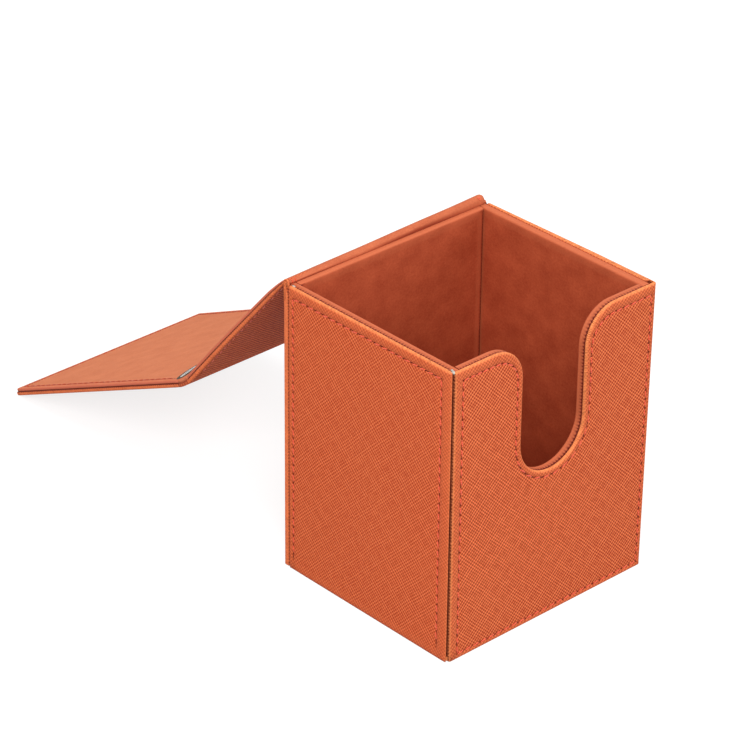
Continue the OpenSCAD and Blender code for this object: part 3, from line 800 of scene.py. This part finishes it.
# Bending parts: a line across the strip is spun about the bend's axis, then given its thickness
def rolledStrip(name, place, centre, radius, start, turn, width, thick, material, steps=12,
                cuts=58, footShade=0, sideShade=0):
    bm = bmesh.new()
    flow, rimAt = sheetLayers(bm)
    a = radians(start)
    ends = [bm.verts.new((x, centre[0] + radius * cos(a), centre[1] + radius * sin(a)))
            for x in (-width / 2, width / 2)]
    edge = bm.edges.new(ends)
    bmesh.ops.subdivide_edges(bm, edges=[edge], cuts=cuts)
    bmesh.ops.spin(bm, geom=list(bm.verts) + list(bm.edges), cent=(0, *centre), axis=(1, 0, 0),
                   angle=radians(turn), steps=steps)
    bmesh.ops.remove_doubles(bm, verts=bm.verts, dist=0.001)
    bmesh.ops.recalc_face_normals(bm, faces=bm.faces)
    sample = bm.faces[:][0]
    middle = sample.calc_center_median()
    if sample.normal.dot(middle - Vector((middle[0], *centre))) < 0:
        bmesh.ops.reverse_faces(bm, faces=bm.faces)
    bmesh.ops.solidify(bm, geom=bm.faces[:], thickness=thick)
    for v in bm.verts:
        angle = atan2(v.co.z - centre[1], v.co.y - centre[0])
        v[flow] = (v.co.x, angle * (radius + box["skin"] / 2), 0)
        # painted shade where it starts, at the roll's foot, and along the inner edge of its two
        # cut sides, where cover and lining meet
        low = 0
        if footShade:
            fromStart = abs((angle - a + pi) % (2 * pi) - pi)
            low = max(0, 1 - fromStart / radians(footShade))
        atSide = abs(v.co.x) > width / 2 - 0.01
        inside = hypot(v.co.y - centre[0], v.co.z - centre[1]) < radius - thick / 2
        dark = sideShade if atSide and inside == (material == strapLeather) else 0
        v[rimAt] = (v.co.x, max(low, dark), 0.25)
    piece = keep(bm, name, place, [material])
    return piece


topTurn = 90 + strip["lidDrop"]
hingeLeather = rolledStrip("hingeLeather", level, (loop["y"], loop["z"]), loop["outer"], 180,
                           -topTurn, strip["width"], loop["thick"], strapLeather)
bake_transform(hingeLeather)
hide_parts("rear_hinge_leather")
hingeRidge = rolledStrip("hingeRidge", level, (ridge["y"], ridge["z"]), ridge["outer"], 195,
                         -topTurn - 15, strip["width"] + 1.2, ridge["thick"], shadedRidgeLining,
                         steps=18, cuts=118, footShade=60)
rounded = {"from": 43.0, "over": 2.6}
for v in hingeRidge.data.vertices:
    # the roll is rounded off at its ends
    x, y, z = v.co * 1000
    end = min(1, max(0, abs(x) - rounded["from"]) / rounded["over"])
    shrink = sqrt(max(0.03, 1 - end ** 2.6)) * (1 - 0.03 * ridge["taper"] * (1 - x / 45))
    y, z = ridge["y"] + (y - ridge["y"]) * shrink, ridge["z"] + (z - ridge["z"]) * shrink
    v.co = Vector((x, y, z + 0.05 * sin(x / 6.5))) / 1000
sagBack(hingeRidge, -1, 110.2, 1.9)
sagBack(hingeLeather)
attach(hingeRidge, "box")
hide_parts("rear_hinge_lining")
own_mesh(hingeRidge)

# the strip's near end is sewn to the back panel with a small bound tab: two round welts go up,
# over the roll and a little way down again. Each has its bend's radius, its own radius, its
# foot's height and its place across the box.
tabFold = {"y": 39.3, "z": 111.0, "down": 1.6}
tab = bmesh.new()
flow, rimAt = sheetLayers(tab)
for radius, thickness, foot, out in ((1.1, 0.27, 103.5, -46.1), (0.45, 0.25, 104.5, -46.0)):
    made = bmesh.ops.create_circle(tab, segments=8, radius=thickness, matrix=Matrix.Translation(
        (out, tabFold["y"] + radius, foot)))
    edges = list({e for v in made["verts"] for e in v.link_edges})
    for step in ("up", "over", "down"):
        if step == "over":
            made = bmesh.ops.spin(tab, geom=tips + edges, cent=(out, tabFold["y"], tabFold["z"]),
                                  axis=(1, 0, 0), angle=pi, steps=8)["geom_last"]
        else:
            made = bmesh.ops.extrude_edge_only(tab, edges=edges)["geom"]
        tips = [g for g in made if isinstance(g, bmesh.types.BMVert)]
        edges = [g for g in made if isinstance(g, bmesh.types.BMEdge)
                 and all(v in tips for v in g.verts)]
        if step != "over":
            rise = tabFold["z"] - foot if step == "up" else -tabFold["down"]
            bmesh.ops.translate(tab, verts=tips, vec=(0, 0, rise))
bmesh.ops.remove_doubles(tab, verts=tab.verts, dist=0.001)
bmesh.ops.holes_fill(tab, edges=tab.edges[:])
bmesh.ops.recalc_face_normals(tab, faces=tab.faces)
for v in tab.verts:
    v[flow] = (v.co.y * 2, v.co.z, 0)
    v[rimAt] = (v.co.z * 0.6, 0, 0.55)
hingeTab = keep(tab, "hingeTab", level, [outerLeather])
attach(hingeTab, "box")
# tacks over the roll near both its ends
tacks = bmesh.new()
for holes, up in ((((-42.9, 39.1, 112.0), (-42.3, 38.75, 109.9)), (0, -0.8, 0.6)),
                  (((-44.1, 39.2, 111.9), (-43.8, 38.75, 109.9)), (0, -0.8, 0.6)),
                  (((41.4, 39.6, 112.6), (43.2, 39.7, 112.5)), (0, -0.5, 0.86)),
                  (((42.0, 39.15, 112.2), (43.2, 39.3, 112.0)), (0, -0.7, 0.7))):
    sewRow(tacks, holes, Vector(up).normalized(), wide=0.8, pricked=False)
ridgeThread = keep(tacks, "ridgeThread", level, [threadLook, holeShadeLook])
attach(ridgeThread, "box")
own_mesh(ridgeThread)

# radius of the fold at rest, to the middle of its leather
foldR = 15.658
foldCentre = (strip["lidEnd"], foldR - box["skin"] / 2)
foldLeather = rolledStrip("foldLeather", lidPlace, foldCentre, foldR + box["skin"] / 2, -90,
                          strip["foldRest"], strip["width"], 1.35, strapLeather, steps=8,
                          sideShade=0.9)
foldLining = rolledStrip("foldLining", lidPlace, foldCentre, foldR - 1.0, -90,
                         strip["foldRest"], strip["width"] - 2 * inset, strip["lining"],
                         stripLining, steps=8, sideShade=0.5)
for piece, node in ((foldLeather, "fold_leather"), (foldLining, "fold_lining")):
    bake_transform(piece)
    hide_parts(node)


def boardBit(bm, at, size, turn):
    # a torn bit of greyboard: a squashed, bent ball
    made = bmesh.ops.create_icosphere(bm, subdivisions=2, radius=1, matrix=Matrix.Translation(
        Vector(at)) @ Matrix.Rotation(radians(turn), 4, "Z") @ Matrix.Diagonal((*size, 1)))
    for v in made["verts"]:
        v.co += Vector((sin(5 * v.co.y), sin(4 * v.co.z), sin(6 * v.co.x))) * min(size) * 0.35


bits = bmesh.new()
boardBit(bits, (-45.2, -39.6, 110.0), (0.55, 0.8, 0.4), 20)
boardBit(bits, (-44.6, -38.6, 110.15), (0.35, 0.5, 0.3), 50)
boardBit(bits, (-45.0, 37.1, 109.9), (0.6, 0.8, 0.35), -30)
boardBits = keep(bits, "rimBoardBits", level, [boardLook])
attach(boardBits, "box")

# the slit near the fold: a dark rim of painted shade, the pale board in it, and a thin dark line
# of painted shade on top
slitBit = {"from": (-43.3, 4.9), "to": (-27.0, 14.9), "wide": 2.7, "rise": 0.14}
slit = bmesh.new()
ends = Vector(slitBit["to"]) - Vector(slitBit["from"])
middle = (Vector(slitBit["to"]) + Vector(slitBit["from"])) / 2
for grow, fat, rise, slotIndex in ((1.1, 1.2, 0.0, 1), (0.8, 0.5, 0.05, 0), (0.6, 0.12, 0.07, 1)):
    made = bmesh.ops.create_circle(slit, cap_ends=True, segments=28, radius=1)
    for v in made["verts"]:
        v.co.y *= 1 - 0.3 * v.co.x
        for f in v.link_faces:
            f.material_index = slotIndex
    bmesh.ops.transform(slit, verts=made["verts"], matrix=Matrix.Translation(
        (middle[0], middle[1], strip["fill"] + slitBit["rise"] + rise)) @ Matrix.Rotation(
        atan2(ends[1], ends[0]), 4, "Z") @ Matrix.Diagonal(
        (ends.length / 2 * grow, slitBit["wide"] / 2 * fat, 1, 1)))
slitPiece = keep(slit, "foldSlit", flapPlace, [paleBoard, slitShade])
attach(slitPiece, "flap")
print("bending parts made")

# Boards, plates and magnets keep their solids
for name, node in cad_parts.items():
    if node.hide_render:
        continue
    look = boardLook
    if "plate" in name:
        look = steelLook
    if "magnet" in name:
        look = magnetLook
    if not node.data.materials:
        node.data.materials.append(look)
    for slotAt in node.material_slots:
        slotAt.material = look


# Room, light and camera: the floor and the world glow for the camera more than for the piece
def seenDirectly(tree):
    seen = put(tree, "ShaderNodeLightPath").outputs
    return calc(tree, "MAXIMUM", seen["Is Camera Ray"], calc(
        tree, "MAXIMUM", seen["Is Glossy Ray"], seen["Is Transmission Ray"]))


floor = bmesh.new()
bmesh.ops.create_grid(floor, x_segments=1, y_segments=1, size=3000)
floorPiece = keep(floor, "studioFloor", Matrix.Translation((0, 0, -0.05)), [], smooth=False)
material, tree, shader = newMaterial("paleFloor")
shader.inputs["Base Color"].default_value = (0.32, 0.32, 0.32, 1)
shader.inputs["Roughness"].default_value = 0.9
shader.inputs["Specular IOR Level"].default_value = 0.0
glow = put(tree, "ShaderNodeEmission", {"Strength": calc(
    tree, "MULTIPLY", seenDirectly(tree), 0.78)})
sumOf = tree.nodes.new("ShaderNodeAddShader")
tree.links.new(shader.outputs[0], sumOf.inputs[0])
tree.links.new(glow.outputs[0], sumOf.inputs[1])
tree.links.new(sumOf.outputs[0], tree.nodes["Material Output"].inputs["Surface"])
floorPiece.data.materials.append(material)

world = bpy.data.worlds.new("softStudio")
bpy.context.scene.world = world
world.use_nodes = True
tree = world.node_tree
back = tree.nodes["Background"]
back.inputs["Color"].default_value = (1, 1, 1, 1)
tree.links.new(spread(tree, seenDirectly(tree), 0.0, 1.0, 0.55, 1.0), back.inputs["Strength"])

lamps = {"key": {"at": (-0.75, -0.68, 0.85), "size": 0.7, "power": 12.6},
         "fill": {"at": (0.9, -0.5, 0.6), "size": 0.8, "power": 5.0},
         "top": {"at": (-0.1, 0.35, 1.1), "size": 0.8, "power": 3.5}}
for name, lamp in lamps.items():
    light = bpy.data.lights.new(name + "Softbox", "AREA")
    light.shape, light.size, light.energy = "DISK", lamp["size"], lamp["power"]
    stand = bpy.data.objects.new(name + "Softbox", light)
    stand.location = lamp["at"]
    aim = Vector((0, 0, 0.05)) - Vector(lamp["at"])
    stand.rotation_euler = aim.to_track_quat("-Z", "Y").to_euler()
    bpy.context.scene.collection.objects.link(stand)

camera = bpy.data.cameras.new("photoCamera")
camera.sensor_width, camera.lens = 36, 165.739
camera.clip_start, camera.clip_end = 0.05, 20
viewer = bpy.data.objects.new("photoCamera", camera)
right = Vector((0.7379456, -0.6747971, 0.0092296))
down = Vector((-0.3278531, -0.3704209, -0.8690804))
forward = Vector((0.5898718, 0.6383081, -0.4945848))
turn = Matrix((right, -down, -forward)).transposed().to_4x4()
viewer.matrix_world = Matrix.Translation((-0.707196, -0.719588, 0.648753)) @ turn
bpy.context.scene.collection.objects.link(viewer)
bpy.context.scene.camera = viewer
bpy.context.scene.view_settings.view_transform = "Standard"
print("room, light and camera set")
